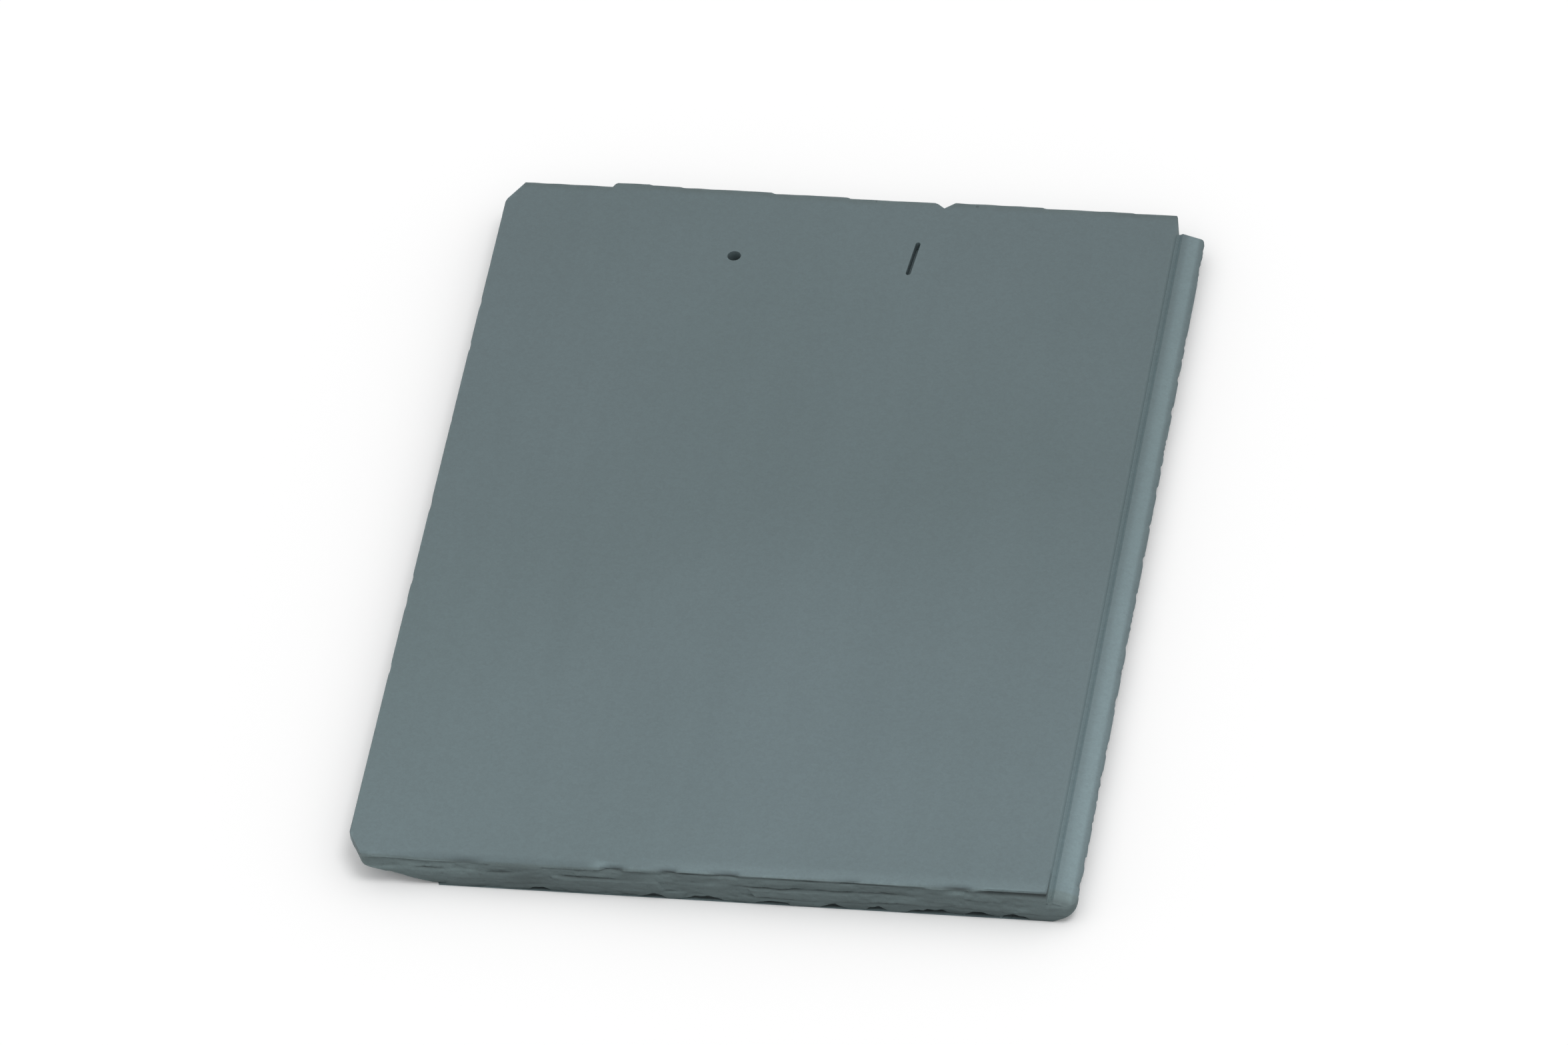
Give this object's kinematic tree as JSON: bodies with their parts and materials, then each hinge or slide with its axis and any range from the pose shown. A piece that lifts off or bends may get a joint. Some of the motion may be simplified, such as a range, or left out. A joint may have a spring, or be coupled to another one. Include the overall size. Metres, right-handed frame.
{
  "type": "concrete roof tile",
  "caption": "flat interlocking concrete roof tile with a side-lap ledge, an overlock, a nail hole, hanging nibs and a deep rough leading edge, laid over battens",
  "frame": {"origin": "middle of the footprint, on the floor under the lip and the nibs", "axes": "+X to the underlock ledge, +Y up the slope to the head, +Z out of the top face"},
  "size_m": [0.3104, 0.42, 0.0175],
  "materials": {
    "concrete": "smooth-faced slate grey concrete, matt, with rough edges"
  },
  "bodies": {
    "root": {"roof_tile": "concrete"}
  },
  "joints": []
}
